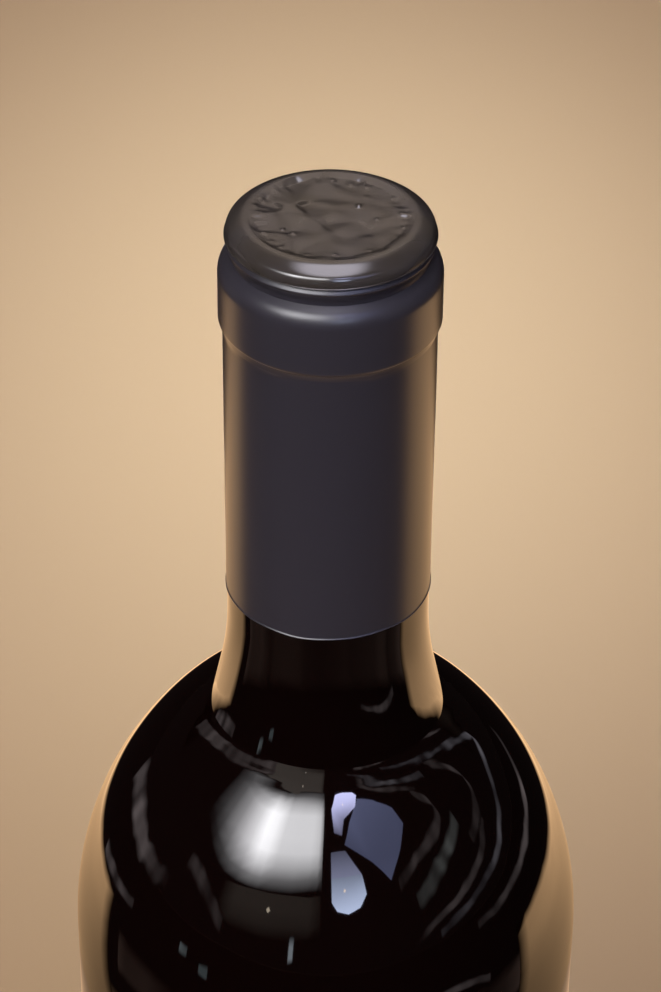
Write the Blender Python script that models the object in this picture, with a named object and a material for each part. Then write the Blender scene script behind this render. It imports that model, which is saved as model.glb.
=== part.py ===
# A sealed wine bottle of the straight-sided, high-shouldered kind, standing on its base.
# Metres, +Z up. The origin is the middle of the base, on the surface that the bottle stands on.
# Three separate pieces: the dark glass bottle with its wine, the sleeve of the capsule, and its top disc.
import math

import bmesh
import bpy
from mathutils import Vector

MM = 0.001
SEGMENTS = 60            # sides of every turned piece, so that nested pieces have parallel flats
GAP = 0.3 * MM           # clearance between pieces that touch on the real bottle

# Whole bottle
HEIGHT = 300.0 * MM
BODY_R = 37.25 * MM

# Base: a flat bearing ring between the heel and the punt
HEEL_R = 6.0 * MM
PUNT_R = 25.5 * MM
PUNT_DEPTH = 21.0 * MM
PUNT_EDGE_R = 2.0 * MM
PUNT_TIP_R = 9.0 * MM    # radius of the dome at the top of the punt

# Shoulder and neck
BODY_TOP_Z = HEIGHT - 121.5 * MM     # where the straight side turns into the shoulder
SHOULDER_R = 52.4 * MM
NECK_R = 14.15 * MM
FLARE_R = 55.0 * MM                  # hollow curve by which the neck widens towards its foot
FLARE_LEAN = 18.0                    # degrees that it leans by where it meets the shoulder

# Capsule sleeve, measured down from the top of the disc
FOIL = 0.35 * MM                     # thickness of the sleeve wall
SLEEVE_TOP = 2.9 * MM
SLEEVE_LIP_R = 13.55 * MM
SLEEVE_BEAD_R = 13.8 * MM
SLEEVE_BEAD = 3.7 * MM
GROOVE_R = 13.15 * MM
GROOVE = 5.0 * MM
RING_R = 14.9 * MM
GROOVE_FOOT = 5.55 * MM              # where the groove's wall ends in the ring's sloping top
RING_TOP = 8.4 * MM                  # where the ring's rounded top meets its straight wall
RING_TOP_R = 3.0 * MM
RING_FOOT = 14.9 * MM
RING_FOOT_R = 0.75 * MM
UNDERCUT = 16.6 * MM
SLEEVE_TOP_R = 14.33 * MM            # outer radius just under the ring
SLEEVE_FOOT_R = 14.26 * MM           # and at the lower edge
SLEEVE_FOOT = 59.1 * MM

# Capsule top disc
DISC_R = 13.9 * MM
DISC_FOOT = 2.6 * MM
DISC_WALL = 0.6 * MM
RIM_WIDTH = 2.5 * MM                 # the rounded rim is a quarter of an ellipse
RIM_DROP = 3.35 * MM
DISC_FLAT_R = DISC_R - RIM_WIDTH
CRUMPLE_R = 11.0 * MM                # the film is crumpled inside this radius
CRUMPLE_DEPTH = 0.14 * MM
CRUMPLE_RINGS = 13


def material(name, colour, roughness, metallic):
    """A plain Principled material."""
    made = bpy.data.materials.new(name)
    made.use_nodes = True
    shader = made.node_tree.nodes["Principled BSDF"]
    shader.inputs["Base Color"].default_value = (*colour, 1.0)
    shader.inputs["Roughness"].default_value = roughness
    shader.inputs["Metallic"].default_value = metallic
    return made


def arc(centre, radii, start, end, steps):
    """Points of an elliptical arc as (radius, height), angles in degrees from the outward direction."""
    points = []
    for i in range(steps + 1):
        angle = math.radians(start + (end - start) * i / steps)
        points.append((centre[0] + radii[0] * math.cos(angle), centre[1] + radii[1] * math.sin(angle)))
    return points


def inset(profile, depth):
    """The profile, which runs down the outer side, moved inwards by depth along its own normals."""
    moved = []
    for i, point in enumerate(profile):
        before = Vector(profile[max(i - 1, 0)])
        after = Vector(profile[min(i + 1, len(profile) - 1)])
        along = (after - before).normalized()
        moved.append((point[0] + along.y * depth, point[1] - along.x * depth))
    return moved


def turned(name, profile, finish):
    """A solid turned about Z from a profile that runs from the axis round to the axis, or closes on itself."""
    mesh = bmesh.new()
    corners = [mesh.verts.new((r, 0.0, z)) for r, z in profile]
    edges = [mesh.edges.new(pair) for pair in zip(corners, corners[1:])]
    if profile[0][0] > 0:
        edges.append(mesh.edges.new((corners[-1], corners[0])))
    bmesh.ops.spin(
        mesh, geom=corners + edges, axis=(0, 0, 1), cent=(0, 0, 0),
        angle=math.tau, steps=SEGMENTS, use_merge=True,
    )
    bmesh.ops.remove_doubles(mesh, verts=mesh.verts, dist=0.01 * MM)
    bmesh.ops.recalc_face_normals(mesh, faces=mesh.faces)
    data = bpy.data.meshes.new(name)
    mesh.to_mesh(data)
    mesh.free()
    data.shade_smooth()
    data.set_sharp_from_angle(angle=math.radians(40))
    data.materials.append(finish)
    made = bpy.data.objects.new(name, data)
    bpy.context.scene.collection.objects.link(made)
    return made


def rim(depth, steps):
    """The disc's rounded rim, from its flat out and down to its lower edge, inset by depth."""
    top = HEIGHT - RIM_DROP
    radii = (RIM_WIDTH - depth, RIM_DROP - depth)
    foot = math.degrees(math.asin((RIM_DROP - DISC_FOOT) / radii[1]))
    return arc((DISC_FLAT_R, top), radii, 90, foot, steps)


def sleeve_outline():
    """The sleeve's outer side, from its upper edge under the disc down to its lower edge on the neck."""
    lip = [
        (SLEEVE_LIP_R, HEIGHT - SLEEVE_TOP),
        (SLEEVE_BEAD_R, HEIGHT - SLEEVE_BEAD),
        ((SLEEVE_BEAD_R + GROOVE_R) / 2, HEIGHT - (SLEEVE_BEAD + GROOVE) / 2),
    ]
    groove = [(GROOVE_R, HEIGHT - GROOVE), (GROOVE_R, HEIGHT - GROOVE_FOOT)]
    ring_top = arc((RING_R - RING_TOP_R, HEIGHT - RING_TOP), (RING_TOP_R, RING_TOP_R), 52, 0, 5)
    ring_foot = arc((RING_R - RING_FOOT_R, HEIGHT - RING_FOOT), (RING_FOOT_R, RING_FOOT_R), 0, -60, 3)
    neck = [
        (SLEEVE_TOP_R, HEIGHT - UNDERCUT),
        (SLEEVE_FOOT_R, HEIGHT - SLEEVE_FOOT),
    ]
    return lip + groove + ring_top + ring_foot + neck


def bottle_outline():
    """The glass from the middle of the base, up the outside, to the middle of the mouth."""
    tip_z = PUNT_DEPTH - PUNT_TIP_R
    punt_foot = PUNT_R - PUNT_EDGE_R
    punt = arc((0, tip_z), (PUNT_TIP_R, PUNT_TIP_R), 90, 35, 4)
    punt += [((punt[-1][0] + punt_foot) / 2, (punt[-1][1] + PUNT_EDGE_R) / 2 + 2.0 * MM)]
    punt += arc((PUNT_R, PUNT_EDGE_R), (PUNT_EDGE_R, PUNT_EDGE_R), 190, 270, 3)
    heel = arc((BODY_R - HEEL_R, HEEL_R), (HEEL_R, HEEL_R), -90, 0, 5)

    # The flare ends on the shoulder's own curve, in a distinct hollow corner.
    flare_out = FLARE_R * (1 - math.cos(math.radians(FLARE_LEAN)))
    across = NECK_R + flare_out - (BODY_R - SHOULDER_R)
    rise = math.sqrt(SHOULDER_R**2 - across**2)
    lean = math.degrees(math.atan2(rise, across))
    flare_z = BODY_TOP_Z + rise + FLARE_R * math.sin(math.radians(FLARE_LEAN))
    shoulder = arc((BODY_R - SHOULDER_R, BODY_TOP_Z), (SHOULDER_R, SHOULDER_R), 0, lean, 14)
    flare = arc((NECK_R + FLARE_R, flare_z), (FLARE_R, FLARE_R), 180 + FLARE_LEAN, 180, 4)

    # Under the sleeve the glass follows it inside, so the bare neck below ends flush with the foil.
    sleeve_foot_z = HEIGHT - SLEEVE_FOOT - GAP
    hidden = inset(sleeve_outline(), FOIL + GAP)
    hidden[-1] = (hidden[-1][0], sleeve_foot_z)
    hidden.reverse()
    mouth = rim(DISC_WALL + GAP, 4)
    mouth.reverse()
    return punt + heel + shoulder + flare[1:] + [(NECK_R, sleeve_foot_z)] + hidden + mouth + [(0, mouth[-1][1])]


def crumple(x, y):
    """Height of the crumpled film on the disc: broad ridges and short folds that die out at its edge."""
    reach = math.hypot(x, y) / CRUMPLE_R
    if reach >= 1:
        return 0.0
    u = x / CRUMPLE_R
    v = y / CRUMPLE_R
    around = math.atan2(v, u)
    broad = math.sin(3.1 * u + 2.2 * math.sin(2.4 * v + 0.7)) * math.cos(2.7 * v - 1.3 * u)
    edge = max(0.0, math.sin(9 * around + 2.5 * math.sin(2 * around))) * reach**4
    fold = math.exp(-((v + 0.25 - 0.45 * math.sin(2.2 * u + 0.4)) / 0.13) ** 2)
    return CRUMPLE_DEPTH * (0.6 * broad + 0.9 * edge + 0.7 * fold) * (1 - reach**6)


for old in list(bpy.data.objects):
    bpy.data.objects.remove(old, do_unlink=True)

bottle = turned("bottle", bottle_outline(), material("dark_glass", (0.012, 0.006, 0.005), 0.05, 0.0))

outer = sleeve_outline()
inner = inset(outer, FOIL)
inner.reverse()
inner[0] = (inner[0][0], outer[-1][1])
inner[-1] = (inner[-1][0], outer[0][1])
sleeve = turned("capsule_sleeve", outer + inner, material("capsule_foil", (0.032, 0.029, 0.036), 0.42, 0.0))

flat = [(DISC_FLAT_R * i / CRUMPLE_RINGS, HEIGHT) for i in range(CRUMPLE_RINGS)]
under = rim(DISC_WALL, 4)
under.reverse()
disc_outline = flat + rim(0, 6) + under + [(0, HEIGHT - DISC_WALL)]
disc = turned("capsule_disc", disc_outline, material("capsule_film", (0.05, 0.042, 0.04), 0.2, 0.0))
for vertex in disc.data.vertices:
    if vertex.co.z > HEIGHT - 0.01 * MM:
        lift = min(0.0, crumple(vertex.co.x, vertex.co.y) - CRUMPLE_DEPTH)
        vertex.co.z += lift * min(1.0, (DISC_FLAT_R - math.hypot(vertex.co.x, vertex.co.y)) / (1.5 * MM))

origin = bpy.data.objects.new("wine_bottle", None)
bpy.context.scene.collection.objects.link(origin)
for piece in (bottle, sleeve, disc):
    piece.parent = origin
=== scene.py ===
# The looks of a sealed wine bottle: near-black polished glass, a satin charcoal shrink sleeve over the
# neck and its ring, and a glossy disc of crumpled film on top. Metres, +Z up, origin under the base.
import math
import random

import bmesh
import bpy
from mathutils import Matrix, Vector, noise


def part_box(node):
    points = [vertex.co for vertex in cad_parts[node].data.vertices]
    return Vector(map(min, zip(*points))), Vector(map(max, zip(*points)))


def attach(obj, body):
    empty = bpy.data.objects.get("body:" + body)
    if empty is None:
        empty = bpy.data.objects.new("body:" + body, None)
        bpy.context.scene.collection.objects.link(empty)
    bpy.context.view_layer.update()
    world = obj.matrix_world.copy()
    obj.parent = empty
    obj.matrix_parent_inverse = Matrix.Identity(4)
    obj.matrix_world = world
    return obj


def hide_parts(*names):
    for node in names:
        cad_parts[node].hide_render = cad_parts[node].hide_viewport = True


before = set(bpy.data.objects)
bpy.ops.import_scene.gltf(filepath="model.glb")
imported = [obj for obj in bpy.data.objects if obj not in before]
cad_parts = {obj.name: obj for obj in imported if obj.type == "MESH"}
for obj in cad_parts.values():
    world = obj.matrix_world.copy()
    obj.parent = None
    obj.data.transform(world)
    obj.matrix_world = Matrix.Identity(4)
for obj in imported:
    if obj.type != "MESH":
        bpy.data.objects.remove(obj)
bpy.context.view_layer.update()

mm = 0.001

# The glass bottle
# One moulded piece of very dark red-brown glass, high in the shoulder, with a rounded heel and a punt.
# It is turned from its outline, then given the faint waves that moulded glass has.
bottle_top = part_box("bottle")[1].z
body_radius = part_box("bottle")[1].x
whole_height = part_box("capsule_disc")[1].z
glass_wave = 0.03 * mm
side_radius = body_radius - 2 * glass_wave
side_top = whole_height - 121.5 * mm
shoulder_radius = 52.4 * mm
neck_radius = 14.12 * mm
flare_radius = 55 * mm
flare_lean = 18
heel_radius = 6 * mm
punt_radius = 25.5 * mm
punt_depth = 21 * mm
punt_edge = 2 * mm
punt_tip = 9 * mm
neck_top = whole_height - 15.5 * mm
neck_step = 0.6 * mm
mouth_radius = 12.3 * mm
mouth_edge = 10.5 * mm
mouth_step = 2 * mm
covered_radius = neck_radius - 0.3 * mm
neck_foot_radius = neck_radius + 3 * mm
neck_foot_width = 2.4 * mm
wave_height = 26 * mm
fine_height = 5 * mm
ridge_width = 0.9 * mm
heel_fade = 10 * mm
sides = 256


def arc(centre, radii, start, end, steps):
    """Points of an elliptical arc as (radius, height), with angles in degrees from the outward direction."""
    turns = [math.radians(start + (end - start) * i / steps) for i in range(steps + 1)]
    return [(centre[0] + radii[0] * math.cos(t), centre[1] + radii[1] * math.sin(t)) for t in turns]


def line(start, end, steps):
    """Evenly spaced points from start to end, leaving out both ends."""
    spans = [i / steps for i in range(1, steps)]
    return [(start[0] + (end[0] - start[0]) * s, start[1] + (end[1] - start[1]) * s) for s in spans]


def turned(outline, steps):
    """A closed bmesh turned about Z from an outline of (radius, height)."""
    mesh = bmesh.new()
    corners = [mesh.verts.new((r, 0, z)) for r, z in outline]
    edges = [mesh.edges.new(pair) for pair in zip(corners, corners[1:])]
    if outline[0][0] > 0:
        edges.append(mesh.edges.new((corners[-1], corners[0])))
    bmesh.ops.spin(mesh, geom=corners + edges, axis=(0, 0, 1), cent=(0, 0, 0),
                   angle=math.tau, steps=steps, use_merge=True)
    bmesh.ops.remove_doubles(mesh, verts=mesh.verts, dist=0.002 * mm)
    bmesh.ops.recalc_face_normals(mesh, faces=mesh.faces)
    return mesh


def finished(name, mesh, finish, node):
    """Makes the bmesh a smooth object that rides on the one body and stands for its CAD node."""
    data = bpy.data.meshes.new(name)
    mesh.to_mesh(data)
    mesh.free()
    data.shade_smooth()
    data.set_sharp_from_angle(angle=math.radians(32))
    data.materials.append(finish)
    made = bpy.data.objects.new(name, data)
    bpy.context.scene.collection.objects.link(made)
    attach(made, "root")
    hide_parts(node)


def shader_of(name):
    """A new material with its node tree and Principled shader."""
    made = bpy.data.materials.new(name)
    made.use_nodes = True
    tree = made.node_tree
    return made, tree, tree.nodes["Principled BSDF"]


def add(tree, kind, **values):
    """A new node with its settings, and its input values by socket name."""
    made = tree.nodes.new(kind)
    for key, value in values.items():
        if hasattr(made, key):
            setattr(made, key, value)
        else:
            made.inputs[key.replace("_", " ")].default_value = value
    return made


def round_noise(turn, lumps, place):
    """Smooth noise that meets itself round the axis: more lumps round for a larger number."""
    return noise.noise((lumps * math.cos(turn), lumps * math.sin(turn), place))


corner_out = flare_radius * (1 - math.cos(math.radians(flare_lean)))
across = neck_radius + corner_out - (side_radius - shoulder_radius)
rise = math.sqrt(shoulder_radius**2 - across**2)
lean = math.degrees(math.atan2(rise, across))
flare_z = side_top + rise + flare_radius * math.sin(math.radians(flare_lean))
punt = arc((0, punt_depth - punt_tip), (punt_tip, punt_tip), 90, 35, 8)
punt += line(punt[-1], (punt_radius - punt_edge, punt_edge), 10)
punt += arc((punt_radius, punt_edge), (punt_edge, punt_edge), 190, 270, 6)
bearing = line((punt_radius, 0), (side_radius - heel_radius, 0), 4)
heel = arc((side_radius - heel_radius, heel_radius), (heel_radius, heel_radius), -90, 0, 12)
side = line((side_radius, heel_radius), (side_radius, side_top), 40)
shoulder = arc((side_radius - shoulder_radius, side_top), (shoulder_radius, shoulder_radius), 0, lean, 110)
flare = arc((neck_radius + flare_radius, flare_z), (flare_radius, flare_radius), 180 + flare_lean, 180, 24)
del flare[0]
neck = line(flare[-1], (neck_radius, neck_top), 20)
mouth = [(neck_radius - neck_step, neck_top), (mouth_radius, neck_top + mouth_step),
         (mouth_radius, bottle_top - mouth_step), (mouth_edge, bottle_top), (0, bottle_top)]
glass = turned(punt + bearing + heel + side + shoulder + flare + neck + mouth, sides)
for vertex in glass.verts:
    x, y, z = vertex.co
    radius = math.hypot(x, y)
    if radius < covered_radius or z < heel_radius:
        continue
    turn = math.atan2(y, x)
    wave = round_noise(turn, 2.6, z / wave_height)
    fine = round_noise(turn, 5, z / fine_height + 40)
    ridge = round_noise(turn, 2.2, radius / ridge_width + 90)
    near_neck = math.exp(-(((radius - neck_foot_radius) / neck_foot_width) ** 2))
    push = glass_wave * (wave + 0.6 * fine) * min(1, (z - heel_radius) / heel_fade)
    vertex.co.z += glass_wave * near_neck * ridge
    vertex.co.x += push * x / radius
    vertex.co.y += push * y / radius

glass_finish, tree, shader = shader_of("dark_glass")
shader.inputs["Base Color"].default_value = (0.0016, 0.0004, 0.0003, 1)
shader.inputs["Roughness"].default_value = 0.03
shader.inputs["IOR"].default_value = 1.52
places = add(tree, "ShaderNodeTexCoord")
ripple = add(tree, "ShaderNodeTexNoise", Scale=230.0, Detail=1.0, Roughness=0.4)
relief = add(tree, "ShaderNodeBump", Strength=0.12, Distance=0.00004)
tree.links.new(places.outputs["Object"], ripple.inputs["Vector"])
tree.links.new(ripple.outputs["Fac"], relief.inputs["Height"])
tree.links.new(relief.outputs["Normal"], shader.inputs["Normal"])
finished("glass_bottle", glass, glass_finish, "bottle")

# The capsule sleeve
# A thin satin charcoal skin, shrunk on so that it follows the groove, the ring and the neck beneath it.
# Its lower edge is cut a little unevenly and stands just proud of the glass.
foil = 0.13 * mm
lip = (13.15 * mm, whole_height - 2.75 * mm)
bead = (13.8 * mm, whole_height - 3.5 * mm)
bead_foot = (bead[0], bead[1] - 0.2 * mm)
bead_slope = (13.4 * mm, bead[1] - 0.8 * mm)
groove = (13.15 * mm, whole_height - 5.0 * mm)
groove_foot = whole_height - 5.55 * mm
ring_radius = 14.9 * mm
ring_top = whole_height - 8.4 * mm
ring_shoulder = 3.0 * mm
ring_foot = whole_height - 14.9 * mm
ring_round = 0.75 * mm
under_ring = (14.42 * mm, ring_foot - 1.1 * mm)
undercut = (14.33 * mm, whole_height - 16.6 * mm)
foot_radius = 14.26 * mm
foot_height = whole_height - 59.1 * mm
foot_curl = 0.1 * mm
uneven_height = 6 * mm
dent_depth = 0.04 * mm
dent_height = 14 * mm


def softened(points, rounds):
    """A polyline with its corners cut off again and again, which rounds them."""
    for _ in range(rounds):
        cut = [points[0]]
        for a, b in zip(points, points[1:]):
            cut.append(tuple(0.75 * p + 0.25 * q for p, q in zip(a, b)))
            cut.append(tuple(0.25 * p + 0.75 * q for p, q in zip(a, b)))
        points = cut + [points[-1]]
    return points


neck_part = softened([lip, bead, bead_foot, bead_slope, groove], 2)
neck_part.append((groove[0], groove_foot))
ring_part = arc((ring_radius - ring_shoulder, ring_top), (ring_shoulder, ring_shoulder), 52, 0, 20)
wall_part = line((ring_radius, ring_top), (ring_radius, ring_foot), 8)
foot_part = arc((ring_radius - ring_round, ring_foot), (ring_round, ring_round), 0, -58, 8)
under_part = softened([foot_part[-1], under_ring, undercut], 2)[1:]
tube_part = line(undercut, (foot_radius, foot_height + 3 * foot_curl), 60)
tube_part += [(foot_radius, foot_height + 2 * foot_curl),
              (foot_radius + foot_curl, foot_height + 0.7 * foot_curl),
              (foot_radius + foot_curl, foot_height)]
skin = neck_part + ring_part + wall_part + foot_part + under_part + tube_part
inside = [(r - foil, z) for r, z in skin]
inside.reverse()
sleeve_mesh = turned(skin + inside, sides)
for vertex in sleeve_mesh.verts:
    x, y, z = vertex.co
    turn = math.atan2(y, x)
    near_foot = max(0, 1 - (z - foot_height) / uneven_height)
    cut = 0.10 * math.sin(turn + 2.6) + 0.06 * math.sin(5 * turn + 1) + 0.04 * math.sin(11 * turn)
    vertex.co.z += cut * mm * near_foot
    if undercut[1] > z:
        dent = dent_depth * round_noise(turn, 2.2, z / dent_height)
        vertex.co.x += dent * math.cos(turn)
        vertex.co.y += dent * math.sin(turn)

foil_finish, tree, shader = shader_of("capsule_foil")
shader.inputs["Base Color"].default_value = (0.0185, 0.0165, 0.0210, 1)
shader.inputs["Roughness"].default_value = 0.33
shader.inputs["IOR"].default_value = 1.45
places = add(tree, "ShaderNodeTexCoord")
grain = add(tree, "ShaderNodeTexNoise", Scale=5200.0, Detail=2.0, Roughness=0.6)
relief = add(tree, "ShaderNodeBump", Strength=0.25, Distance=0.00002)
tree.links.new(places.outputs["Object"], grain.inputs["Vector"])
tree.links.new(grain.outputs["Fac"], relief.inputs["Height"])
tree.links.new(relief.outputs["Normal"], shader.inputs["Normal"])
finished("shrink_sleeve", sleeve_mesh, foil_finish, "capsule_sleeve")

# The capsule disc
# A thin disc of film pressed over the mouth, with a smooth rolled rim and a crumpled, shiny middle.
# The middle is many small tilted facets that run into each other, with one long fold across them.
disc_radius = 13.9 * mm
disc_drop = 2.6 * mm
disc_foot = whole_height - disc_drop
rim_width = 2.5 * mm
rim_drop = 3.35 * mm
flat_radius = disc_radius - rim_width
film = 0.3 * mm
film_underside = whole_height - 0.78 * mm
underside_radius = 10.9 * mm
crumple_radius = 11.0 * mm
crumple_depth = 0.22 * mm
film_sink = 0.3 * mm
fade_width = 1.2 * mm
foot_turn = math.degrees(math.asin((rim_drop - disc_drop) / rim_drop))
top_part = [(0, whole_height)] + line((0, whole_height), (crumple_radius, whole_height), 90)

# Radius and drop below the top, in mm, for the corners that are softened into the rim
rim_corners = [(11.0, 0), (11.6, 0.06), (12.3, 0.38), (13.3, 1.0), (13.62, 1.35), (13.86, 2.0), (13.9, 2.6)]
rim_part = softened([(r * mm, whole_height - drop * mm) for r, drop in rim_corners], 3)
lip_middle = (disc_radius - 0.03 * mm, disc_foot - 0.02 * mm)
lip_part = arc(lip_middle, (0.14 * mm, 0.10 * mm), 70, -90, 6)
under_radii = (rim_width - film, rim_drop - film)
under_rim = arc((flat_radius, whole_height - rim_drop), under_radii, foot_turn, 90, 12)
under_film = [(underside_radius, film_underside), (0, film_underside)]
disc_mesh = turned(top_part + rim_part + lip_part + under_rim + under_film, sides)

# The facets lie in a spiral that spreads them evenly, each moved, tilted and lifted a little at random
facet_count = 46
facet_tilt = 0.13
facet_blend = 1.35 * mm
facet_lift = 0.2 * crumple_depth
golden_turn = 2.39996
draw = random.Random(11)
facets = []
for i in range(facet_count):
    reach = crumple_radius * math.sqrt((i + 0.5) / facet_count)
    turn = golden_turn * i + draw.uniform(-0.5, 0.5)
    tilt = Vector((draw.uniform(-1, 1), draw.uniform(-1, 1))) * facet_tilt
    facets.append((Vector((reach * math.cos(turn), reach * math.sin(turn))), tilt, draw.uniform(-1, 1)))

# The long fold is an arch, steep on one side and fading slowly on the other
fold_top = (-5.5 * mm, 0.9 * mm)
fold_bend = 0.135 / mm
fold_middle = -2.4 * mm
fold_reach = 5.6 * mm
fold_fade = 1.8 * mm
fold_edge = 0.25 * mm
fold_depth = 0.35 * crumple_depth

# The film puckers near the rim, more on one side than the other
pucker_radius = 9.7 * mm
pucker_width = 1.1 * mm
pucker_height = 0.7 * crumple_depth

# Each pimple's x, y, spread and rise, in mm
pimples = [
    (3.6, 2.7, 0.42, 0.24), (-4.9, -4.0, 0.38, 0.20), (-6.2, -3.1, 0.30, 0.16), (-10.0, 2.4, 0.5, 0.17),
    (-9.5, 0.5, 0.5, 0.17), (-9.1, 4.6, 0.4, 0.14), (0.3, 9.1, 0.35, 0.14), (2.6, 8.2, 0.6, 0.15),
    (4.7, 7.6, 0.5, 0.13), (4.6, 5.0, 0.5, 0.10), (8.2, 4.9, 0.4, 0.12), (9.3, 0.7, 0.4, 0.12),
    (5.9, -0.4, 0.3, 0.14), (9.4, -2.4, 0.3, 0.13), (-7.6, -6.2, 0.5, 0.16), (-6.4, -7.6, 0.4, 0.15),
    (-8.6, -4.2, 0.45, 0.15), (0.6, -9.3, 0.35, 0.12), (-3.0, -9.2, 0.4, 0.14), (5.0, -8.2, 0.3, 0.12),
]
pimple_rise = 1.3


def crumple(x, y):
    """Height of the crumpled film: tilted facets, a long fold, puckers round the edge and a few pimples."""
    place = Vector((x, y))
    total = 0
    height = 0
    for centre, tilt, lift in facets:
        offset = place - centre
        share = math.exp(-(offset.length / facet_blend) ** 2)
        total += share
        height += share * (offset.dot(tilt) + facet_lift * lift)
    height /= max(total, 1e-6)
    from_top = x - fold_top[0]
    beyond = (y - fold_top[1] + fold_bend * from_top**2) / math.hypot(1, 2 * fold_bend * from_top)
    along = max(0, 1 - ((x - fold_middle) / fold_reach) ** 2)
    height -= fold_depth * along * math.exp(-max(beyond / fold_fade, -beyond / fold_edge))
    reach = place.length
    turn = math.atan2(y, x)
    pucker = math.sin(27 * turn + 3 * math.sin(4 * turn)) + 0.6 * math.sin(43 * turn + reach / (0.9 * mm))
    patchy = 0.15 + max(0, round_noise(turn, 1.7, 4.2) - 0.3 * math.cos(turn + 0.6))
    near_rim = math.exp(-(((reach - pucker_radius) / pucker_width) ** 2))
    height += pucker_height * pucker * patchy * near_rim
    for spot_x, spot_y, spread, rise in pimples:
        away = math.hypot(x - spot_x * mm, y - spot_y * mm) / (spread * mm)
        height += pimple_rise * rise * mm * math.exp(-away**2)
    return height


for vertex in disc_mesh.verts:
    x, y, z = vertex.co
    reach = math.hypot(x, y)
    if z > whole_height - 0.5 * film and reach < crumple_radius:
        fade = min(1, (crumple_radius - reach) / fade_width)
        vertex.co.z += fade * min(0, crumple(x, y) - film_sink)

film_finish, tree, shader = shader_of("capsule_film")
places = add(tree, "ShaderNodeTexCoord")
clouds = add(tree, "ShaderNodeTexNoise", Scale=170.0, Detail=2.0, Roughness=0.55)
tint = add(tree, "ShaderNodeMix", data_type="RGBA")
tint.inputs["A"].default_value = (0.028, 0.0245, 0.0265, 1)
tint.inputs["B"].default_value = (0.021, 0.0160, 0.0095, 1)
tree.links.new(places.outputs["Object"], clouds.inputs["Vector"])
tree.links.new(clouds.outputs["Fac"], tint.inputs["Factor"])
tree.links.new(tint.outputs["Result"], shader.inputs["Base Color"])
shader.inputs["Roughness"].default_value = 0.15
shader.inputs["IOR"].default_value = 1.5
finished("capsule_disc_film", disc_mesh, film_finish, "capsule_disc")

# The setting
# A pale floor in a dim room with two windows behind the camera. Cards that only show in reflections stand
# for the room. Bearings are degrees from the camera's side of the bottle, positive to its right.
neck_height = 0.225
ribbon_height = 0.19
ribbon_drop = 0.18
card_distance = 3.0
glow_finish = bpy.data.materials.new("glow")
glow_finish.use_nodes = True
tree = glow_finish.node_tree
tree.nodes.remove(tree.nodes["Principled BSDF"])
shade = add(tree, "ShaderNodeAttribute", attribute_name="glow")
light = add(tree, "ShaderNodeEmission")
tree.links.new(shade.outputs["Color"], light.inputs["Color"])
tree.links.new(light.outputs["Emission"], tree.nodes["Material Output"].inputs["Surface"])


def card(name, places, faces, colour, strengths, lights=False):
    """A glowing card that the camera doesn't see, with a strength at each of its places."""
    data = bpy.data.meshes.new(name)
    data.from_pydata(places, [], faces)
    shades = data.color_attributes.new("glow", "FLOAT_COLOR", "POINT")
    for shade, strength in zip(shades.data, strengths):
        shade.color = (colour[0] * strength, colour[1] * strength, colour[2] * strength, 1)
    data.materials.append(glow_finish)
    made = bpy.data.objects.new(name, data)
    bpy.context.scene.collection.objects.link(made)
    made.visible_camera = False
    made.visible_diffuse = lights
    made.visible_shadow = lights


def quads(across, up):
    """The faces of a grid whose places run up each column in turn."""
    return [(i * up + j, i * up + j + 1, (i + 1) * up + j + 1, (i + 1) * up + j)
            for i in range(across - 1) for j in range(up - 1)]


def polar(bearing, away, height):
    """The place at this bearing and distance from the bottle's axis."""
    turn = math.radians(bearing)
    return away * math.sin(turn), -away * math.cos(turn), height


def upright(facing, bearing, height):
    """The place on a distant upright plane, square to the facing, that is seen from the neck this way."""
    away = card_distance / math.cos(math.radians(bearing - facing))
    return polar(bearing, away, neck_height + away * math.tan(math.radians(height)))


def pane(name, facing, colour, corners, lights=False):
    """A pane of light with a bearing, height and strength for each corner."""
    places = [upright(facing, bearing, height) for bearing, height, _ in corners]
    card(name, places, [list(range(len(corners)))], colour, [strength for _, _, strength in corners], lights)


def soft_pane(name, facing, colour, columns, rows, lights=False):
    """A fading pane: columns of (bearing, strength, bottom, top), rows of (part of the way up, share)."""
    places = [upright(facing, bearing, bottom + (top - bottom) * part)
              for bearing, _, bottom, top in columns for part, _ in rows]
    strengths = [strength * share for _, strength, _, _ in columns for _, share in rows]
    card(name, places, quads(len(columns), len(rows)), colour, strengths, lights)


def trail(name, colour, width, points):
    """A glowing ribbon with a bearing, height and strength at each point, low ones just above the floor."""
    places = []
    strengths = []
    for bearing, height, strength in softened(points, 3):
        bottom = height - 0.7 * width
        away = card_distance if bottom > -2 else ribbon_drop / math.tan(math.radians(-bottom))
        for part, share in [(0, 0), (0.3, 1), (0.7, 1), (1, 0)]:
            ruffle = 0.3 * width * noise.noise((bearing / 5, height / 4, 1.5 * part + width))
            edge = math.radians(bottom + ruffle + 1.4 * width * part)
            places.append(polar(bearing, away, ribbon_height + away * math.tan(edge)))
            strengths.append(share * strength * (0.62 + 0.8 * noise.noise((bearing / 6, height / 6, width))))
    card(name, places, quads(len(places) // 4, 4), colour, strengths)


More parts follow.
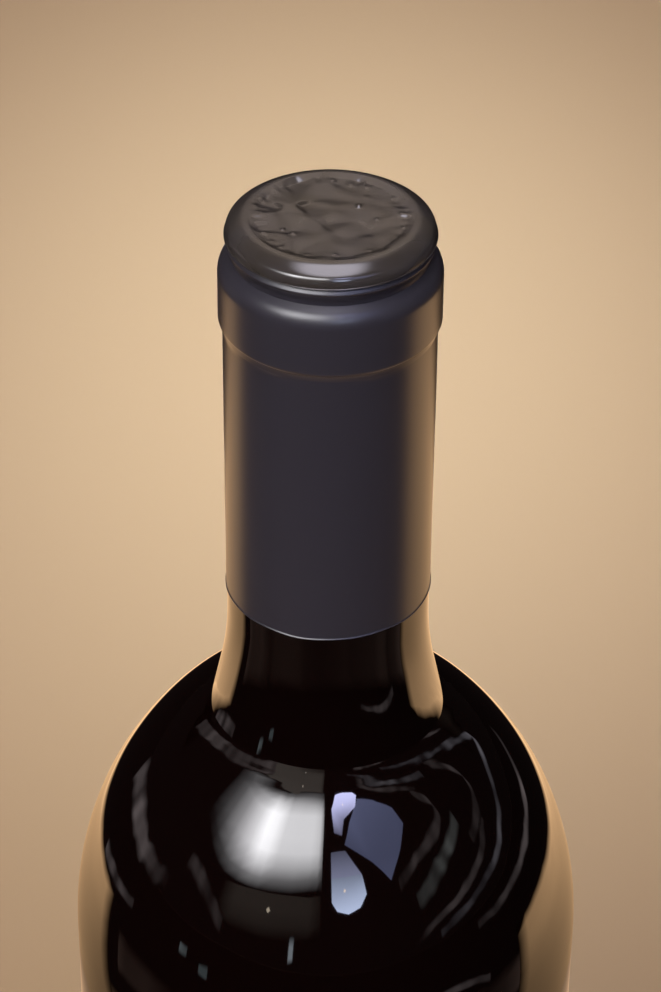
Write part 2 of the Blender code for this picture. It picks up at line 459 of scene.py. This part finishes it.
bpy.ops.mesh.primitive_plane_add(size=8)
floor = bpy.context.object
floor.name = "floor"
floor_finish, tree, shader = shader_of("floor")
shader.inputs["Roughness"].default_value = 0.6
# The floor's base colour holds a painted pool of light: pale round a spot behind the bottle, fading to a
# darker, warmer painted shade towards the edges.
places = add(tree, "ShaderNodeTexCoord")
shift = add(tree, "ShaderNodeMapping", Location=(0, -1.25, 0), Scale=(4.6, 2.9, 1))
painted_light_pool = add(tree, "ShaderNodeTexGradient", gradient_type="SPHERICAL")
ease = add(tree, "ShaderNodeMapRange", interpolation_type="SMOOTHSTEP")
tint = add(tree, "ShaderNodeMix", data_type="RGBA")
# A is the painted shade at the floor's edges, B the pale painted light in the middle of the pool.
tint.inputs["A"].default_value = (0.27, 0.175, 0.095, 1)
tint.inputs["B"].default_value = (0.60, 0.445, 0.262, 1)
tree.links.new(places.outputs["Object"], shift.inputs["Vector"])
tree.links.new(shift.outputs["Vector"], painted_light_pool.inputs["Vector"])
tree.links.new(painted_light_pool.outputs["Fac"], ease.inputs["Value"])
tree.links.new(ease.outputs["Result"], tint.inputs["Factor"])
tree.links.new(tint.outputs["Result"], shader.inputs["Base Color"])
floor.data.materials.append(floor_finish)

# What the glass shows of the floor: black in front, pale beside and behind, and lit close to the bottle.
# The cards lie one above another in thin layers.
black_reach = 3.9
black_height = 1 * mm
near_height = 1.2 * mm
dim_height = 1.5 * mm
pale_height = 2 * mm
black_corners = [(-black_reach, -black_reach), (black_reach, -black_reach),
                 (black_reach, black_reach), (-black_reach, black_reach)]
card("black_floor", [(x, y, black_height) for x, y in black_corners], [(0, 1, 2, 3)],
     (0.009, 0.006, 0.006), [1] * 4)

# Bearing and reach in mm of the pale floor's far edge, with the share of its strength there
reaches = [
    (89, 535, 0), (96, 535, 1), (105, 525, 1), (116, 500, 1), (127, 455, 1), (137, 415, 1), (147, 380, 1),
    (160, 350, 1), (180, 340, 1), (200, 345, 1), (210, 355, 1), (220, 390, 1), (229, 425, 1), (238, 450, 1),
    (247, 465, 1), (254, 465, 0),
]
rings = [(190, 0.45), (210, 0.55), (270, 0.9), (330, 1.35), (390, 1.95), (440, 2.3), (600, 2.6)]
faded_reach = 1.12
pale_places = []
pale_shades = []
for bearing, reach, share in reaches:
    for ring, strength in rings:
        pale_places.append(polar(bearing, min(ring, reach) * mm, pale_height))
        pale_shades.append(share * strength)
    pale_places.append(polar(bearing, faded_reach * reach * mm, pale_height))
    pale_shades.append(0)
card("pale_floor", pale_places, quads(len(reaches), len(rings) + 1), (1.0, 0.60, 0.30), pale_shades)
near_rings = [(0.04, 0.8), (0.1, 1.2), (0.16, 1.2), (0.19, 0.45), (0.24, 0)]
near_places = [polar(10 * step, away, near_height) for step in range(37) for away, _ in near_rings]
near_shades = [strength for _ in range(37) for _, strength in near_rings]
card("near_floor", near_places, quads(37, len(near_rings)), (1.0, 0.62, 0.36), near_shades)
spokes = [(-98, 0.17), (-93, 0.10), (-84, 0.12), (-79, 0.14), (-74, 0.10), (-66, 0.05), (-60, 0.09),
          (-54, 0.10), (-43, 0.11), (-32, 0.10), (-26, 0.06), (-11, 0.04), (0, 0.05), (10, 0.06), (20, 0.08),
          (26, 0.06), (41, 0.08), (53, 0.09), (60, 0.14), (66, 0.13), (70, 0.06), (80, 0.10), (90, 0.24)]
dim_rings = [(0.28, 0), (0.31, 1), (0.38, 1), (0.45, 0)]
dim_places = [polar(bearing, away, dim_height) for bearing, _ in spokes for away, _ in dim_rings]
dim_shades = [strength * share for _, strength in spokes for _, share in dim_rings]
card("dim_floor", dim_places, quads(len(spokes), len(dim_rings)), (1.0, 0.66, 0.54), dim_shades)

# The windows
soft_pane("window_white", -22, (1.0, 0.99, 1.02),
          [(-80, 0, 25, 46), (-74, 0.7, 24, 47), (-68, 1.8, 22, 49), (-60, 5.2, 19.5, 50),
           (-55, 9, 18.5, 50.5), (-48, 15, 18.5, 51), (-41, 24, 19, 52), (-36, 22, 19.5, 52.5),
           (-29, 15, 20.5, 54), (-18, 14.5, 22, 55.5), (-9, 14.5, 23.5, 56), (-4, 12, 24, 56),
           (-1.5, 4, 24, 56)],
          [(0, 0), (0.12, 0.16), (0.25, 0.55), (0.4, 0.93), (0.55, 1), (0.76, 1), (0.87, 0.6), (0.95, 0.12),
           (1, 0)], True)
pane("window_blue_top", 20, (0.62, 0.63, 1.0),
     [(6, 43, 3), (11, 42, 3), (14, 47, 7), (24, 50, 16), (27, 53, 22), (24, 54.5, 24), (16, 55.5, 24),
      (9, 55, 24), (5, 51, 18)], True)
pane("window_blue_side", 20, (0.50, 0.56, 1.0),
     [(12, 39, 2.2), (27, 31, 2.2), (35, 23, 2.4), (45, 30, 2.1), (54, 36, 2.1), (52, 42, 2.4),
      (40, 49, 2.8), (27, 52, 3.3), (18, 46, 3.4)], True)
pane("window_blue_low", 20, (0.62, 0.66, 1.0),
     [(3.5, 37, 2.2), (3.5, 28, 6), (20, 28, 6), (12, 37, 2.2)], True)
pane("window_blue_foot", 20, (0.62, 0.72, 1.0),
     [(3.5, 28, 6), (3.5, 21, 12), (6, 18, 16), (11, 16.8, 17), (17, 18.5, 16), (21, 22, 13),
      (20, 28, 6)], True)

# The dim room, its lamps and the light overhead
soft_pane("ceiling_left", -30, (1.0, 0.88, 0.78),
          [(-66, 0, 50, 64), (-56, 0.8, 50, 64), (-30, 0.8, 53, 66), (-6, 0.75, 55, 67), (-3, 0.3, 55, 67)],
          [(0, 1), (0.65, 0.8), (1, 0)])
soft_pane("wall_low", -25, (1.0, 0.86, 0.74),
          [(-53, 0, 5, 17), (-45, 0.34, 4, 18), (-30, 0.34, 5, 20), (-8, 0.3, 7, 22), (-2, 0.1, 8, 23)],
          [(0, 0), (0.35, 0.7), (0.7, 1), (1, 1)])
soft_pane("wall_back", 180, (1.0, 0.80, 0.66),
          [(118, 0, 12, 80), (140, 0.3, 12, 80), (158, 1, 12, 80), (180, 1, 12, 80), (202, 1, 12, 80),
           (220, 0.3, 12, 80), (242, 0, 12, 80)],
          [(0, 0), (0.18, 0.4), (0.35, 0.9), (0.55, 1.5), (0.8, 2.2), (1, 2.4)])
for name, facing, colour, bearing, height, size, strength in [
        ("lamp", -28, (1.0, 0.85, 0.65), -28, 15, 1.0, 7),
        ("glint_a", -28, (1.0, 0.9, 0.8), -27, 62, 0.7, 5),
        ("glint_b", -28, (1.0, 0.85, 0.7), -25, 57, 0.7, 6),
        ("glint_c", -28, (1.0, 0.85, 0.7), -31, 56, 0.8, 6),
        ("glint_d", 20, (1.0, 0.78, 0.6), 15, 52, 0.7, 34),
        ("glint_e", 20, (1.0, 0.78, 0.6), 10, 24, 0.6, 20)]:
    corners = [(bearing - size, height, strength), (bearing, height - size, strength),
               (bearing + size, height, strength), (bearing, height + size, strength)]
    pane(name, facing, colour, corners)
overhead_height = 2.7
overhead_rings = [(0.02, 8.5), (0.6, 8), (0.8, 4), (1.0, 0)]
overhead_places = [Vector(polar(15 * step, away, overhead_height)) - Vector((0, 0.05, 0))
                   for step in range(25) for away, _ in overhead_rings]
overhead_shades = [strength for _ in range(25) for _, strength in overhead_rings]
card("overhead", overhead_places, quads(25, len(overhead_rings)), (0.93, 0.88, 1.0), overhead_shades)
fill = bpy.data.lights.new("fill", "AREA")
fill.shape = "DISK"
fill.size = 1.6
fill.energy = 30
fill.color = (1.0, 0.93, 0.86)
fill_light = bpy.data.objects.new("fill", fill)
fill_light.location = (0, 0, 2.4)
fill_light.visible_glossy = False
bpy.context.scene.collection.objects.link(fill_light)

# Ribbons for the shelves and edges of the room, traced by where the shoulder shows them
grey = (1.0, 0.84, 0.84)
trail("shelf_a", grey, 3.5, [(69, 40, 0.3), (77, 32, 0.8), (75, 27, 0.9), (65, 26, 0.8), (53, 25, 0.7),
                             (39, 21, 0.4)])
trail("shelf_b", (0.95, 1.0, 0.98), 4.5, [(82, 22, 0.5), (72, 19, 1.5), (63, 18, 1.2), (54, 15, 0.7),
                                          (46, 14, 0.3)])
trail("shelf_c", grey, 3, [(90, 38, 0.3), (99, 29, 0.8), (104, 21, 0.9), (102, 16, 0.6), (95, 13, 0.4),
                           (84, 13, 0.2)])
trail("shelf_d", grey, 2.4, [(96, 11, 0.2), (82, 7, 0.8), (72, 7, 0.8), (64, 6, 0.7), (49, 4, 0.4),
                             (40, 0, 0.1)])
trail("shelf_e", (0.92, 0.88, 1.0), 2.2, [(60, 54, 0.3), (82, 44, 0.5), (100, 33, 0.7), (112, 24, 1.2),
                                          (124, 13, 1.7), (128, 8, 1.2), (119, 8, 0.7), (108, 4, 0.8),
                                          (94, 2, 0.9), (74, 2, 0.7), (53, 0, 0.3)])
trail("shelf_f", grey, 2.2, [(140, -6, 0.2), (134, -9, 0.6), (125, -10, 0.7), (111, -9, 0.8),
                             (89, -7, 0.6), (70, -6, 0.2)])
trail("shelf_h", (0.95, 0.9, 1.0), 2.0, [(24, 61, 0.3), (44, 54, 0.9), (58, 49, 1.4), (68, 45, 0.9),
                                         (84, 38, 0.5)])
trail("shelf_i", grey, 1.5, [(30, 57, 0.4), (48, 50, 0.8), (62, 45, 0.5), (74, 39, 0.3)])
trail("shelf_j", grey, 1.4, [(34, 64, 0.6), (60, 59, 0.8), (84, 50, 0.9), (104, 37, 0.7), (118, 25, 0.5)])
trail("shelf_l", grey, 2.0, [(34, -19, 0.3), (48, -18, 1.0), (62, -19, 0.6), (72, -22, 0.3)])
trail("left_a", grey, 3.0, [(-125, 16, 0.4), (-113, 26, 0.9), (-102, 34, 0.8), (-86, 41, 0.6),
                            (-69, 49, 0.9), (-57, 55, 0.9)])
trail("left_c", grey, 5, [(-129, -6, 0.5), (-122, -4, 0.9), (-110, -3, 0.9), (-96, -2, 0.7), (-80, 1, 0.2)])
trail("left_d", grey, 2.5, [(-122, -19, 0.3), (-108, -17, 0.6), (-93, -14, 0.3)])
trail("left_e", grey, 5, [(-74, 13, 0.3), (-68, 13, 0.8), (-57, 9, 0.6), (-48, 5, 0.4)])
trail("lamp_low", (0.8, 0.95, 1.0), 3, [(-64, -10, 1.6), (-60, -10, 1.6)])
trail("lamp_lower", (0.75, 0.95, 1.0), 3, [(-54, -12, 1.2), (-50, -12, 1.2)])
trail("lamp_front", (0.8, 0.9, 1.0), 6, [(-16, 4, 3), (-14, 4, 3)])

world = bpy.data.worlds.new("dim_room")
world.use_nodes = True
tree = world.node_tree
background = tree.nodes["Background"]
seen = add(tree, "ShaderNodeLightPath")
backdrop = add(tree, "ShaderNodeMix", data_type="RGBA")
backdrop.inputs["A"].default_value = (0.016, 0.012, 0.012, 1)
backdrop.inputs["B"].default_value = (0.66, 0.52, 0.36, 1)
tree.links.new(seen.outputs["Is Camera Ray"], backdrop.inputs["Factor"])
tree.links.new(backdrop.outputs["Result"], background.inputs["Color"])
bpy.context.scene.world = world

# The camera looks down at the capsule at the photo's angle, in degrees, with a very small roll
camera_place = (0.00023, -0.38329, whole_height + 0.23422)
camera_down = 36.08
camera_roll = 0.0082
camera = bpy.data.objects.new("camera", bpy.data.cameras.new("camera"))
camera.data.lens = 125.24
camera.location = camera_place
camera.rotation_euler = (math.radians(90 - camera_down), 0, 0)
camera.rotation_euler.rotate_axis("Z", camera_roll)
bpy.context.scene.collection.objects.link(camera)
bpy.context.scene.camera = camera
bpy.context.scene.view_settings.view_transform = "Standard"
